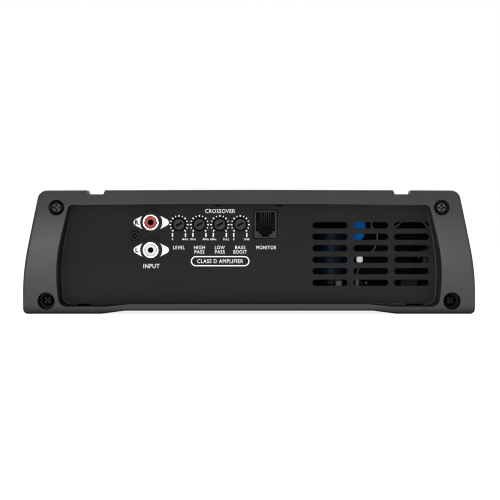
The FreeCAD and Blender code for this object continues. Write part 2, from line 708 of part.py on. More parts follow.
def loom_wires():
    """Two thin wires that climb from the plugs behind the vents and go back under the lid."""
    return group([pipe(path, LOOM_WIRE) for path in loom_paths()])


def loom_plugs():
    wires = loom_wires().Solids
    return group([blank.cut(wires) for blank in loom_blanks()])


# ---- terminal end --------------------------------------------------------------------------------------
def fan_frame():
    """A square fan body, with the spider that holds the motor on its inner side."""
    half = FAN_SIZE / 2
    y0, y1 = PANEL_BACK - FAN_DEPTH, PANEL_BACK
    body = box(FAN_X - half, FAN_X + half, y0, y1, FAN_Z - half, FAN_Z + half)
    body = body.makeFillet(2.5, [e for e in body.Edges if e.BoundBox.YLength > FAN_DEPTH - 1])
    body = body.cut(rod(FAN_X, FAN_Z, FAN_BORE, y0 - 1, y1 + 1))
    spider = [rod(FAN_X, FAN_Z, FAN_HUB, y0, y0 + 2)]
    for angle in (45, 135):
        arm = box(FAN_X - FAN_BORE - 1, FAN_X + FAN_BORE + 1, y0, y0 + 2, FAN_Z - 1.2, FAN_Z + 1.2)
        arm.rotate(V(FAN_X, 0, FAN_Z), V(0, 1, 0), angle)
        spider.append(arm)
    body = union([body] + spider)
    holes = [rod(x, z, 1.7, y0 - 1, y1 + 1) for x, z in fan_hole_places()]
    return body.cut(holes + [rod(FAN_X, FAN_Z, FAN_AXLE + 0.05, y0 - 1, y0 + 3)])


def fan_hole_places():
    half = FAN_HOLE_PITCH / 2
    return [(FAN_X + i * half, FAN_Z + k * half) for i in (-1, 1) for k in (-1, 1)]


def fan_rotor():
    """Hub with pitched blades and the axle that runs in the spider."""
    y0 = PANEL_BACK - FAN_DEPTH
    parts = [rod(FAN_X, FAN_Z, FAN_HUB, y0 + 2.6, y0 + 13.0), rod(FAN_X, FAN_Z, FAN_AXLE, y0 + 0.4, y0 + 3)]
    for i in range(FAN_BLADES):
        blade = box(FAN_HUB - 1.5, FAN_TIP, -4.6, 4.6, -0.5, 0.5)
        blade.rotate(V(0, 0, 0), V(1, 0, 0), 38)
        blade.translate(V(FAN_X, y0 + 7.8, FAN_Z))
        blade.rotate(V(FAN_X, 0, FAN_Z), V(0, 1, 0), i * 360 / FAN_BLADES)
        parts.append(blade)
    swept = rod(FAN_X, FAN_Z, FAN_TIP, y0, y0 + FAN_DEPTH)
    return union(parts).common(swept)


def fan_screws():
    screws = []
    for x, z in fan_hole_places():
        head = rod(x, z, HEAD, PANEL_FACE, PANEL_FACE + 1.8)
        shank = rod(x, z, 1.6, PANEL_BACK - FAN_DEPTH + 1, PANEL_FACE)
        recess = [
            box(x - 1.5, x + 1.5, PANEL_FACE + 0.8, PANEL_FACE + 3, z - 0.3, z + 0.3),
            box(x - 0.3, x + 0.3, PANEL_FACE + 0.8, PANEL_FACE + 3, z - 1.5, z + 1.5),
        ]
        screws.append(head.fuse(shank).cut(recess))
    return group(screws)


def block_shape(stations, half, top, y0, y1, gap=0.0):
    """The outside of a terminal block, widened by gap."""
    xs = list(stations.values())
    side = half + 3.0 + gap
    return box(min(xs) - side, max(xs) + side, y0, y1, BOARD_TOP - gap, top + gap)


def clamp(x, bore, half, centre, clamp_top):
    """A brass clamp with a wire bore, a screw hole above it and a tail that reaches the board."""
    body = box(x - half, x + half, CLAMP_BACK, CLAMP_FACE, centre - bore - 1.8, clamp_top)
    tail = box(x - half + 2, x + half - 2, BLOCK_BACK + 2, CLAMP_BACK, centre - 1, centre + 1)
    foot = box(x - half + 2, x + half - 2, BLOCK_BACK + 2, BLOCK_BACK + 4, BOARD_TOP, centre)
    shape = union([body, tail, foot])
    return shape.cut([rod(x, centre, bore, CLAMP_BACK + 1, BLOCK_FACE), screw_core(x, bore, centre, 40, 0.05)])


def screw_radius(bore):
    return bore * 0.62


def screw_core(x, bore, centre, top, gap=0.0):
    return post(x, CLAMP_SCREW_Y, screw_radius(bore) + gap, centre + bore * 0.5, top)


def clamp_screw(x, bore, half, centre, clamp_top, top):
    """A socket set screw standing over the wire bore, wound out as far as it goes."""
    radius = screw_radius(bore)
    low, high = centre + bore + 0.2, top - 0.8
    screw = post(x, CLAMP_SCREW_Y, radius, low, high)
    corners = [
        V(x + radius * 0.62 * math.cos(a), CLAMP_SCREW_Y + radius * 0.62 * math.sin(a), high - radius * 0.9)
        for a in [k * math.pi / 3 for k in range(7)]
    ]
    socket = Part.Face(Part.makePolygon(corners)).extrude(V(0, 0, 10))
    return screw.cut(socket)


def terminal_block(stations, bore, half, centre, clamp_top, top):
    """The moulded block, cut out for its clamps, wires and screws."""
    block = block_shape(stations, half, top, BLOCK_BACK, BLOCK_FACE)
    block = block.makeFillet(0.8, [e for e in block.Edges if e.BoundBox.YMin > BLOCK_FACE - 0.01])
    cuts = []
    for x in stations.values():
        cuts.append(clamp(x, bore, half, centre, clamp_top))
        cuts.append(rod(x, centre, bore + 0.4, CLAMP_FACE - 0.1, BLOCK_FACE + 1))
        cuts.append(rod(x, centre, bore, CLAMP_BACK, BLOCK_FACE))
        cuts.append(screw_core(x, bore, centre, top + 1, 0.3))
    return block.cut(cuts)


def grille(y0, y1):
    """Level slots that fill a circle in front of the fan."""
    slots = []
    for i in range(-3, 4):
        z = FAN_Z + i * GRILLE_PITCH
        reach = math.sqrt(GRILLE_RADIUS**2 - (z - FAN_Z) ** 2)
        slots.append(stadium(FAN_X, z, 2 * reach, GRILLE_SLOT, y0, y1))
    return slots


def rear_panel():
    y0, y1 = PANEL_BACK - 1, PANEL_FACE + 1
    cuts = grille(y0, y1) + [rod(x, z, 1.8, y0, y1) for x, z in fan_hole_places()]
    for stations, _, half, _, _, top in TERMINALS.values():
        cuts.append(block_shape(stations, half, top, y0, y1, 0.15))
    cuts += [rod(x, LAMP_Z, LAMP_RADIUS + 0.05, y0, y1) for x in LAMPS.values()]
    return panel(PANEL_BACK, PANEL_FACE).cut(cuts)


def lamp(x):
    """A small round lamp through the panel, on two legs bent down to the board."""
    tail = PANEL_BACK - 5
    body = union([rod(x, LAMP_Z, LAMP_RADIUS, tail, PANEL_FACE + 0.6), rod(x, LAMP_Z, 2.0, tail, tail + 1)])
    legs = []
    for offset in (-0.9, 0.9):
        side = x + offset
        legs.append(box(side - 0.25, side + 0.25, BOARD_REAR - 2, tail, LAMP_Z - 0.25, LAMP_Z + 0.25))
        legs.append(box(side - 0.25, side + 0.25, BOARD_REAR - 2, BOARD_REAR - 1.5, BOARD_TOP, LAMP_Z + 0.25))
    return union([body] + legs)


# ---- every piece, by name ------------------------------------------------------------------------------
def pieces():
    transformer, coils = wound_rings()
    made = {
        "front_frame": end_frame(),
        "rear_frame": rear_frame(),
        "front_frame_screws": frame_screws(),
        "rear_frame_screws": turned(frame_screws()),
        "heatsink": heatsink(),
        "base_plate": base_plate(),
        "base_screws": base_screws(),
        "front_panel": front_panel(),
        "rear_panel": rear_panel(),
        "rca_housing": rca_housing(),
        "rca_shells": group([rca_shell(z) for z in RCA_Z]),
        "rca_red_insert": rca_insert(RCA_Z[0]),
        "rca_white_insert": rca_insert(RCA_Z[1]),
        "rca_center_contacts": group([rca_contact(z) for z in RCA_Z]),
        "rca_screw": rca_screw(),
        "monitor_jack": monitor_jack(),
        "monitor_jack_contacts": jack_contacts(),
        "input_board": input_board(),
        "board_link": board_link(),
        "main_board": main_board(),
        "board_pillars": board_pillars(),
        "board_screws": board_screws(),
        "transistors": transistors(),
        "insulator_strips": insulator_strips(),
        "clamp_bars": clamp_bars(),
        "clamp_bar_screws": clamp_screws(),
        "rail_capacitors": rail_capacitors(),
        "surge_disc": surge_disc(),
        "film_capacitors": film_capacitors(),
        "transformer_core": transformer[0],
        "transformer_winding": transformer[1],
        "inductor_cores": group([coil[0] for coil in coils]),
        "inductor_windings": group([coil[1] for coil in coils]),
        "driver_chips": driver_chips(),
        "loom_plugs": loom_plugs(),
        "loom_wires": loom_wires(),
        "fan_frame": fan_frame(),
        "fan_rotor": fan_rotor(),
        "fan_screws": fan_screws(),
    }
    for name, x in knob_places():
        made[name + "_pot"] = pot_case(x)
        made[name + "_shaft"] = pot_shaft(x)
    for name, (stations, bore, half, centre, clamp_top, top) in TERMINALS.items():
        made[name + "_block"] = terminal_block(stations, bore, half, centre, clamp_top, top)
        made[name + "_clamps"] = group([clamp(x, bore, half, centre, clamp_top) for x in stations.values()])
        for station, x in stations.items():
            made[station + "_screw"] = clamp_screw(x, bore, half, centre, clamp_top, top)
    for name, x in LAMPS.items():
        made[name] = lamp(x)
    return made


os.makedirs("parts", exist_ok=True)
for name, shape in pieces().items():
    shape.exportStep("parts/" + name + ".step")
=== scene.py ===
"""A car audio amplifier on a plain floor: materials, printed legends, wound coils and fan blades, all
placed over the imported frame. Lengths are in millimetres up to the floor, light and camera section, which
is in metres like Blender. X runs across the width, Y from the control end to the terminal end, Z up."""

import json
import math

import bmesh
import bpy
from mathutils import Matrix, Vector


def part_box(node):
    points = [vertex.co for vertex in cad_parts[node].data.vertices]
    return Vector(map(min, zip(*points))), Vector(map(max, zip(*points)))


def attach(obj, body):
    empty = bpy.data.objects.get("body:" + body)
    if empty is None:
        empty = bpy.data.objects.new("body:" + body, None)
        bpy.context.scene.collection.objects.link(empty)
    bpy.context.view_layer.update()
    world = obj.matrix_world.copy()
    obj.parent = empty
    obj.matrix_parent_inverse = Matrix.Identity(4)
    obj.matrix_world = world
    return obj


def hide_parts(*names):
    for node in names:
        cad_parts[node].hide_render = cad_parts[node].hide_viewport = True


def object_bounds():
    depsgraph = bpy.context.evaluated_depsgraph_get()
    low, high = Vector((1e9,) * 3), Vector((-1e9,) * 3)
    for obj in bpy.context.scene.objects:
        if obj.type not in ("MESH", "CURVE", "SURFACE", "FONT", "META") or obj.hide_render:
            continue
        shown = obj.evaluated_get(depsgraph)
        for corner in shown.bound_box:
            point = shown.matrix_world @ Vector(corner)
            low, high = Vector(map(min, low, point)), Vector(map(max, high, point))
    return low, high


MM = 0.001
BODY = "amplifier"

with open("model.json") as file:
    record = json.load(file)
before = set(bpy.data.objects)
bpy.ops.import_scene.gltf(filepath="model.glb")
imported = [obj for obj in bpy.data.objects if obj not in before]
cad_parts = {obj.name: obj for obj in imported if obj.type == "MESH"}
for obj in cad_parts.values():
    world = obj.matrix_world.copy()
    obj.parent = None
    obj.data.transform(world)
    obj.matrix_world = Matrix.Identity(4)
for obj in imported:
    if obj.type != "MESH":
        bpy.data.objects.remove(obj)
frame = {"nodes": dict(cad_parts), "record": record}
nodes = frame["nodes"]
cad_low, cad_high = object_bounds()


# ---- places that the frame gives, in mm ----------------------------------------------------------
def corners(node):
    low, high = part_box(node)
    return low / MM, high / MM


def centre(node):
    low, high = corners(node)
    return (low + high) / 2


FRAME_FACE = -corners("front_frame")[0].y
PANEL_FACE = -corners("front_panel")[0].y
PANEL_TOP = corners("front_panel")[1].z
PANEL_SIDE = corners("front_panel")[1].x
LEDGE_FACE = PANEL_FACE + 0.8          # the narrow ledge round the panel, in front of it
CAN_TOP = corners("rail_capacitors")[1].z
BOARD_TOP = corners("main_board")[1].z


# ---- material building blocks --------------------------------------------------------------------
NOISE_SPAN = (0.3, 0.7)                # where nearly all of a noise texture's values lie
FLAT, SHARP = 0.995, 0.86              # cosine between eased and true normal on a flat, and on an edge


class Shader:
    """A node material under construction, with every length in millimetres."""

    def __init__(self, name):
        self.material = bpy.data.materials.new(name)
        self.material.use_nodes = True
        self.tree = self.material.node_tree
        self.bsdf = self.tree.nodes["Principled BSDF"]
        metres = self.add("TexCoord").outputs["Object"]
        self.place = self.vector("MULTIPLY", metres, (1 / MM, 1 / MM, 1 / MM))
        self.sky = None

    def add(self, kind, **settings):
        node = self.tree.nodes.new("ShaderNode" + kind)
        for key, value in settings.items():
            setattr(node, key, value)
        return node

    def link(self, source, target):
        self.tree.links.new(source, target)

    def feed(self, socket, value):
        """Links an output to the socket, or sets a plain value on it."""
        if isinstance(value, bpy.types.NodeSocket):
            self.link(value, socket)
        elif value is not None:
            socket.default_value = value

    def vector(self, operation, first, second=None, scale=None):
        node = self.add("VectorMath", operation=operation)
        self.feed(node.inputs[0], first)
        self.feed(node.inputs[1], second)
        self.feed(node.inputs[3], scale)
        return node.outputs["Value" if operation == "DOT_PRODUCT" else "Vector"]

    def math(self, operation, first, second=0.0):
        node = self.add("Math", operation=operation)
        self.feed(node.inputs[0], first)
        self.feed(node.inputs[1], second)
        return node.outputs[0]

    def noise(self, size, detail=2.0, stretch=(1, 1, 1), offset=0.0):
        """Noise whose blotches are about size mm across, stretched along the axes."""
        scaled = self.vector("DIVIDE", self.place, stretch)
        shifted = self.vector("ADD", scaled, (offset, offset, offset))
        node = self.add("TexNoise")
        self.link(shifted, node.inputs["Vector"])
        node.inputs["Scale"].default_value = 1.0 / size
        node.inputs["Detail"].default_value = detail
        node.inputs["Roughness"].default_value = 0.5
        return node.outputs["Fac"]

    def cells(self, size):
        """Distance to the nearest of the scattered points, which lie about size mm apart."""
        node = self.add("TexVoronoi", feature="F1")
        self.link(self.place, node.inputs["Vector"])
        node.inputs["Scale"].default_value = 1.0 / size
        return node.outputs["Distance"]

    def ramp(self, factor, low, high, out_low=0.0, out_high=1.0):
        """Maps factor from low..high to out_low..out_high, clamped."""
        node = self.add("MapRange")
        for socket, value in zip(node.inputs, (factor, low, high, out_low, out_high)):
            self.feed(socket, value)
        return node.outputs[0]

    def spread(self, noise, out_low, out_high):
        """Maps the usual span of a noise to out_low..out_high."""
        return self.ramp(noise, *NOISE_SPAN, out_low, out_high)

    def mix(self, factor, first, second):
        node = self.add("Mix", data_type="RGBA")
        self.feed(node.inputs["Factor"], factor)
        self.feed(node.inputs[6], as_colour(first))
        self.feed(node.inputs[7], as_colour(second))
        return node.outputs[2]

    def blend(self, noise, first, second, most=1.0):
        """Blotches of the second colour, at the share most, over the first."""
        return self.mix(self.spread(noise, 0.0, most), first, second)

    def scaled(self, tone, share):
        return self.vector("SCALE", tone, None, share)

    def axis(self, name):
        node = self.add("SeparateXYZ")
        self.link(self.place, node.inputs[0])
        return node.outputs[name]

    def rounded(self, radius):
        """Shading normal with every sharp edge eased by radius mm."""
        node = self.add("Bevel", samples=4)
        node.inputs["Radius"].default_value = radius * MM
        return node.outputs[0]

    def edges(self, radius):
        """1 on sharp edges, 0 on flats."""
        eased = self.rounded(radius)
        true = self.add("NewGeometry").outputs["Normal"]
        return self.ramp(self.vector("DOT_PRODUCT", eased, true), FLAT, SHARP)

    def openness(self, reach, darkest, low=0.35, high=0.85):
        """Painted shade: 1 in the open, down to darkest in pockets, by the share of sky that is clear
        within reach mm.
        The share is looked up once per material, at the first reach asked for."""
        if self.sky is None:
            self.sky = self.add("AmbientOcclusion", samples=6)
            self.sky.inputs["Distance"].default_value = reach * MM
        return self.ramp(self.sky.outputs["AO"], low, high, darkest, 1.0)

    def bump(self, height, distance, normal=None):
        node = self.add("Bump")
        node.inputs["Strength"].default_value = 1.0
        node.inputs["Distance"].default_value = distance * MM
        self.link(height, node.inputs["Height"])
        if normal is not None:
            self.link(normal, node.inputs["Normal"])
        return node.outputs[0]

    def finish(self, colour, roughness, normal=None, **others):
        """Feeds the surface. Other sockets go by name, with underscores for spaces."""
        self.feed(self.bsdf.inputs["Base Color"], as_colour(colour))
        self.feed(self.bsdf.inputs["Roughness"], roughness)
        if normal is not None:
            self.link(normal, self.bsdf.inputs["Normal"])
        for key, value in others.items():
            self.feed(self.bsdf.inputs[key.replace("_", " ")], as_colour(value))
        return self.material


def as_colour(value):
    """Adds the alpha that a colour socket wants; sockets and plain numbers pass through."""
    if isinstance(value, (tuple, list)) and len(value) == 3:
        return (*value, 1.0)
    return value


def shade(colour, factor):
    return tuple(min(1.0, c * factor) for c in colour)


# ---- painted light and shade by place ------------------------------------------------------------
# These shares are painted into the material, not cast by a lamp, so they stay with the material under any
# light.
# They were set to give the control end the right tones under this scene's lamps.
def shaded_between_the_ends(s):
    """Full colour at the two ends of the body, darker between them: painted shade inside the closed case.
    """
    inside, at_the_panel = PANEL_FACE - 21.0, PANEL_FACE - 2.5
    return s.ramp(s.math("ABSOLUTE", s.axis("Y")), inside, at_the_panel, 0.25, 1.0)


def shaded_low_down(s):
    """Full colour up high, darker on the low screws: painted shade, as they sit in deep pockets."""
    return s.ramp(s.axis("Z"), 12.0, 30.0, 0.3, 1.0)


def floor_lit_toward_the_foot(s):
    """Full colour up high, paler toward the bottom edge: painted light from the floor."""
    return s.ramp(s.axis("Z"), 2.0, 30.0, 1.7, 1.0)


def lit_and_shaded_in_the_frame(s):
    """Full colour outside, painted shade on the recess walls, a painted highlight on the ledge, and the
    darkest painted shadow behind the ledge. Painted light from the -X side leaves walls and ledge paler
    toward +X than toward -X, at both ends of the body alike."""
    across, height = s.axis("X"), s.axis("Z")
    from_middle = s.math("ABSOLUTE", across)
    outward = s.math("ABSOLUTE", s.axis("Y"))
    # painted shade on the walls and a painted highlight on the ledge, both paler toward +X from painted
    # light on the -X side
    wall_shade = s.ramp(across, 20.0, 90.0, 0.32, 0.75)
    ledge = s.ramp(across, 20.0, 90.0, 0.55, 1.0)

    between_sides = s.ramp(from_middle, PANEL_SIDE + 2.7, PANEL_SIDE + 1.7)
    under_top = s.ramp(height, PANEL_TOP + 1.04, PANEL_TOP + 0.04)
    above_foot = s.ramp(height, 2.0, 2.6)
    inner = s.math("MULTIPLY", between_sides, s.math("MULTIPLY", under_top, above_foot))

    ledge_to_wall = s.ramp(outward, LEDGE_FACE + 0.1, LEDGE_FACE + 0.3, ledge, wall_shade)
    wall_to_mouth = s.ramp(outward, FRAME_FACE - 3.8, FRAME_FACE - 3.2, wall_shade, 1.0)
    # painted shadow, darkest just behind the ledge
    shadow_behind_ledge = s.ramp(outward, LEDGE_FACE - 0.2, LEDGE_FACE - 0.05, 0.15, 1.0)
    level = s.math("MULTIPLY", s.math("MAXIMUM", ledge_to_wall, wall_to_mouth), shadow_behind_ledge)
    return s.math("SUBTRACT", 1.0, s.math("MULTIPLY", inner, s.math("SUBTRACT", 1.0, level)))


# ---- materials -----------------------------------------------------------------------------------
# In the plain kinds, wear is how pale a sharp edge turns, pocket is the reach in mm over which a hollow
# takes painted shade, and the by-place argument is one of the painted light and shade functions above.
# Edges are painted in as well.
def plastic(
    name,
    colour,
    roughness,
    grain=0.35,
    depth=0.012,
    ease=0.25,
    wear=1.5,
    specular=0.5,
    pocket=6.0,
    light_and_shade_by_place=None,
):
    """Moulded plastic: eroded grain, slow blotches of sheen, paler on sharp edges, painted shade in
    hollows.
    """
    s = Shader(name)
    blotch = s.noise(22, 3)
    fine = s.noise(grain, 2)
    edge = s.edges(ease * 1.4)
    rubbed = s.math("MULTIPLY", edge, s.ramp(s.noise(3.0, 4), 0.35, 0.7))
    tone = s.blend(blotch, shade(colour, 0.93), shade(colour, 1.08))
    tone = s.blend(fine, tone, shade(colour, 0.75), 0.22)
    tone = s.mix(rubbed, tone, shade(colour, wear))
    # painted shade in hollows, on colour and sheen alike
    tone = s.scaled(tone, s.openness(pocket, 0.12))
    sheen = s.math("MULTIPLY", specular, s.openness(pocket, 0.1))
    # painted light and shade by place, on colour and sheen alike
    if light_and_shade_by_place:
        share = light_and_shade_by_place(s)
        tone = s.scaled(tone, share)
        sheen = s.math("MULTIPLY", sheen, share)
    slow = s.spread(blotch, roughness - 0.035, roughness + 0.035)
    quick = s.spread(fine, -0.04, 0.04)
    normal = s.bump(fine, depth, s.rounded(ease))
    return s.finish(tone, s.math("ADD", slow, quick), normal, Specular_IOR_Level=sheen)


def painted(name, colour, roughness, pitch=0.7, depth=0.02, wear=1.6, specular=0.4, light_and_shade_by_place=None):
    """Powder coat: fine orange peel with tiny paler specks, and painted shade in hollows."""
    s = Shader(name)
    peel = s.noise(pitch, 2)
    speck = s.ramp(s.noise(0.28, 1, offset=7.0), 0.6, 0.8)
    blotch = s.noise(30, 3, offset=3.0)
    tone = s.blend(blotch, shade(colour, 0.92), shade(colour, 1.1))
    tone = s.mix(s.math("MULTIPLY", speck, 0.35), tone, shade(colour, 1.8))
    tone = s.mix(s.edges(0.3), tone, shade(colour, wear))
    # painted shade in hollows
    tone = s.scaled(tone, s.openness(5.0, 0.4))
    # painted light and shade by place
    if light_and_shade_by_place:
        tone = s.scaled(tone, light_and_shade_by_place(s))
    uneven = s.spread(peel, roughness - 0.05, roughness + 0.05)
    rough = s.math("ADD", uneven, s.math("MULTIPLY", speck, 0.1))
    normal = s.bump(peel, depth, s.rounded(0.15))
    return s.finish(tone, rough, normal, Specular_IOR_Level=specular)


def metal(
    name,
    colour,
    roughness,
    size=0.4,
    depth=0.004,
    ease=0.15,
    metallic=1.0,
    tarnish=0.8,
    pocket=3.0,
    light_and_shade_by_place=None,
):
    """Bare or plated metal with fine tool marks and slow tarnish, and painted shade in hollows."""
    s = Shader(name)
    marks = s.noise(size, 3)
    stain = s.noise(9, 4, offset=5.0)
    tone = s.mix(s.ramp(stain, 0.35, 0.75), colour, shade(colour, tarnish))
    tone = s.blend(marks, tone, shade(colour, 0.7), 0.3)
    # painted shade in hollows
    tone = s.scaled(tone, s.openness(pocket, 0.15))
    # painted light and shade by place
    if light_and_shade_by_place:
        tone = s.scaled(tone, light_and_shade_by_place(s))
    scratched = s.ramp(marks, 0.25, 0.75, roughness - 0.06, roughness + 0.08)
    stained = s.ramp(stain, 0.4, 0.7, 0.0, 0.06)
    normal = s.bump(marks, depth, s.rounded(ease))
    return s.finish(tone, s.math("ADD", scratched, stained), normal, Metallic=metallic)


def anodised(name):
    """Black anodised extrusion: die lines along its length and a soft metallic sheen, with painted shade
    in hollows.
    """
    s = Shader(name)
    black, rubbed = (0.028, 0.028, 0.031), (0.12, 0.12, 0.125)
    die = s.noise(0.35, 3, stretch=(1, 400, 1))
    broad = s.noise(2.4, 2, stretch=(1, 200, 1), offset=4.0)
    blotch = s.noise(35, 3)
    edge = s.math("MULTIPLY", s.edges(0.35), s.spread(s.noise(4.0, 4), 0.0, 1.0))
    tone = s.blend(broad, shade(black, 0.8), shade(black, 1.25))
    tone = s.mix(s.ramp(blotch, 0.35, 0.7, 0.0, 0.3), tone, shade(black, 0.7))
    tone = s.mix(edge, tone, rubbed)
    # painted shade in hollows
    tone = s.scaled(tone, s.openness(18.0, 0.2, 0.2, 0.7))
    rough = s.math("ADD", s.ramp(die, 0.25, 0.75, 0.36, 0.5), s.spread(blotch, -0.03, 0.04))
    normal = s.bump(die, 0.006, s.rounded(0.2))
    return s.finish(tone, rough, normal, Metallic=0.55, Specular_IOR_Level=0.5)


def circuit_board(name):
    """Solder resist over copper tracks, with tinned pads, and painted shade on colour and sheen where
    parts close the board in.
    """
    s = Shader(name)
    green, tin = (0.002, 0.018, 0.008), (0.6, 0.6, 0.56)
    pitch, deep = 3.1, 14.0
    tracks = s.add("TexBrick", offset=0.37, squash=1.0)
    for socket, value in (
        ("Scale", 0.12),
        ("Mortar Size", 0.035),
        ("Mortar Smooth", 0.1),
        ("Brick Width", 0.9),
        ("Row Height", 0.31),
    ):
        tracks.inputs[socket].default_value = value
    s.link(s.vector("ADD", s.place, (3.1, 1.7, 0.0)), tracks.inputs["Vector"])
    pads = s.ramp(s.cells(pitch), 0.17, 0.14)
    weave = s.noise(0.5, 1, stretch=(1, 4, 1))
    tone = s.mix(tracks.outputs["Fac"], green, shade(green, 2.1))
    tone = s.blend(weave, tone, shade(green, 0.6), 0.3)
    tone = s.mix(pads, tone, tin)
    # painted shade where nearby parts close the board in
    tone = s.scaled(tone, s.openness(deep, 0.04))
    height = s.math("ADD", tracks.outputs["Fac"], pads)
    return s.finish(
        tone,
        s.spread(weave, 0.25, 0.4),
        s.bump(height, 0.03),
        Metallic=s.math("MULTIPLY", pads, 0.8),
        # painted shade dims the sheen the same way
        Specular_IOR_Level=s.math("MULTIPLY", 0.4, s.openness(deep, 0.05)),
    )


def capacitor_can(name):
    """Dark blue shrink sleeve with painted shade near the board, under a bare aluminium top."""
    s = Shader(name)
    navy, pale_navy, aluminium = (0.0003, 0.008, 0.017), (0.0006, 0.012, 0.024), (0.5, 0.5, 0.5)
    top = s.ramp(s.axis("Z"), CAN_TOP - 2.9, CAN_TOP - 2.8)
    fibres = s.noise(0.8, 3, stretch=(1, 1, 9))
    # painted shade near the board
    shadow = s.ramp(s.axis("Z"), BOARD_TOP + 6.4, BOARD_TOP + 10.4, 0.1, 1.0)
    sleeve = s.scaled(s.blend(fibres, navy, pale_navy), shadow)
    tone = s.mix(top, sleeve, aluminium)
    rough = s.spread(fibres, 0.38, 0.5)
    return s.finish(tone, rough, s.bump(fibres, 0.02), Metallic=top, Specular_IOR_Level=0.12)


def loom_plastic(name):
    """Dull grey board plugs, and the white sleeve above them, lifted by a faint painted glow."""
    s = Shader(name)
    cloudy = s.noise(0.8, 2)
    plug = s.blend(cloudy, (0.045, 0.045, 0.046), (0.065, 0.065, 0.066))
    sleeve = s.blend(cloudy, (0.84, 0.84, 0.82), (0.93, 0.93, 0.91))
    upper = s.ramp(s.axis("Z"), BOARD_TOP + 11.4, BOARD_TOP + 12.4)
    return s.finish(
        s.mix(upper, plug, sleeve),
        s.spread(cloudy, 0.35, 0.5),
        s.bump(cloudy, 0.02, s.rounded(0.2)),
        # painted glow: the white sleeve lights itself faintly, though it is no lamp
        Emission_Color=(1.0, 1.0, 1.0),
        Emission_Strength=s.math("MULTIPLY", upper, 0.25),
    )


def surge_coating(name):
    """Dipped blue epoxy, thicker and duller in patches, over dark legs."""
    s = Shader(name)
    puddle = s.noise(2.5, 2)
    above_legs = s.ramp(s.axis("Z"), BOARD_TOP + 26.4, BOARD_TOP + 26.8)
    blue = s.blend(puddle, (0.0, 0.11, 0.4), (0.0, 0.18, 0.62))
    tone = s.mix(above_legs, (0.01, 0.01, 0.01), blue)
    return s.finish(tone, s.spread(puddle, 0.5, 0.62), s.bump(puddle, 0.08), Specular_IOR_Level=0.03)


def lamp_glass(name, colour):
    """Tinted clear resin with faint flow marks."""
    s = Shader(name)
    swirl = s.noise(1.2, 2)
    tone = s.blend(swirl, colour, shade(colour, 0.8))
    return s.finish(tone, s.spread(swirl, 0.08, 0.16), s.bump(swirl, 0.01), Transmission_Weight=0.55)


def ink(name, colour):
    """Screen-printed ink: slightly uneven film with a soft sheen. Pale ink carries a little painted glow,
    which keeps thin print crisp."""
    s = Shader(name)
    film = s.noise(0.25, 2)
    return s.finish(
        s.blend(film, shade(colour, 0.95), colour),
        s.spread(film, 0.45, 0.6),
        s.bump(film, 0.006),
        Specular_IOR_Level=0.3,
        # painted glow on the print
        Emission_Color=colour,
        Emission_Strength=0.35 * colour[0],
    )


def floor_paint(name):
    """Pale, even floor with a slow change of tone, and a light of its own that keeps it near white."""
    s = Shader(name)
    tone = s.blend(s.noise(60, 2), (0.3, 0.3, 0.3), (0.32, 0.32, 0.32))
    white = (1.0, 1.0, 1.0)
    return s.finish(tone, 0.7, Specular_IOR_Level=0.05, Emission_Color=white, Emission_Strength=0.86)


FRAME_GREY = (0.0272, 0.0272, 0.0276)
PANEL_BLACK = (0.0098, 0.0098, 0.01)
PLASTIC_BLACK = (0.006, 0.006, 0.0065)
SOCKET_BLACK = (0.0055, 0.0055, 0.0058)
SCREW_GREY = (0.075, 0.075, 0.078)

# one material for each slot that the record names
looks = {
    "frame_plastic": plastic(
        "frame_plastic", FRAME_GREY, 0.37, 0.3, 0.008, ease=0.35, light_and_shade_by_place=lit_and_shaded_in_the_frame
    ),
    "anodised": anodised("anodised"),
    "black_steel": painted("black_steel", (0.012, 0.012, 0.0125), 0.55),
    "dark_screw": metal(
        "dark_screw", SCREW_GREY, 0.36, metallic=0.9, size=0.5, pocket=1.0, light_and_shade_by_place=shaded_low_down
    ),
    "panel_paint": painted("panel_paint", PANEL_BLACK, 0.66, specular=0.24, light_and_shade_by_place=floor_lit_toward_the_foot),
    "black_plastic": plastic(
        "black_plastic", PLASTIC_BLACK, 0.45, specular=0.35, pocket=4.0, light_and_shade_by_place=shaded_between_the_ends
    ),
    "nickel": metal("nickel", (0.8, 0.79, 0.78), 0.22, ease=0.2, tarnish=0.92),
    "red_plastic": plastic("red_plastic", (0.4, 0.016, 0.016), 0.42, depth=0.004, wear=1.1, pocket=8.0),
    "white_plastic": plastic(
        "white_plastic", (0.82, 0.82, 0.8), 0.36, depth=0.004, wear=1.05, pocket=8.0
    ),
    "grey_plastic": plastic("grey_plastic", SOCKET_BLACK, 0.44, ease=0.2, specular=0.3, pocket=8.0),
    "gold": metal("gold", (0.3, 0.2, 0.07), 0.3),
    "board_green": circuit_board("board_green"),
    "zinc": metal("zinc", (0.45, 0.46, 0.47), 0.32),
    "epoxy": plastic("epoxy", (0.005, 0.005, 0.005), 0.5, grain=0.2, specular=0.25),
    "pad_grey": plastic("pad_grey", (0.2, 0.22, 0.23), 0.7),
    "sleeve_navy": capacitor_can("sleeve_navy"),
    "disc_blue": surge_coating("disc_blue"),
    "ferrite": plastic("ferrite", (0.02, 0.02, 0.021), 0.6, grain=0.5, depth=0.05),
    "copper": metal("copper", (0.72, 0.26, 0.1), 0.22),
    "wire_grey": plastic("wire_grey", (0.11, 0.11, 0.106), 0.45, wear=1.1),
    "brass": metal("brass", (0.78, 0.58, 0.26), 0.28),
    "lamp_blue": lamp_glass("lamp_blue", (0.05, 0.2, 0.85)),
    "lamp_red": lamp_glass("lamp_red", (0.8, 0.03, 0.02)),
}
for entry in frame["record"]["subparts"]:
    carried = nodes[entry["node"]]
    carried.data.materials.clear()
    carried.data.materials.append(looks[entry["material_slot"]])

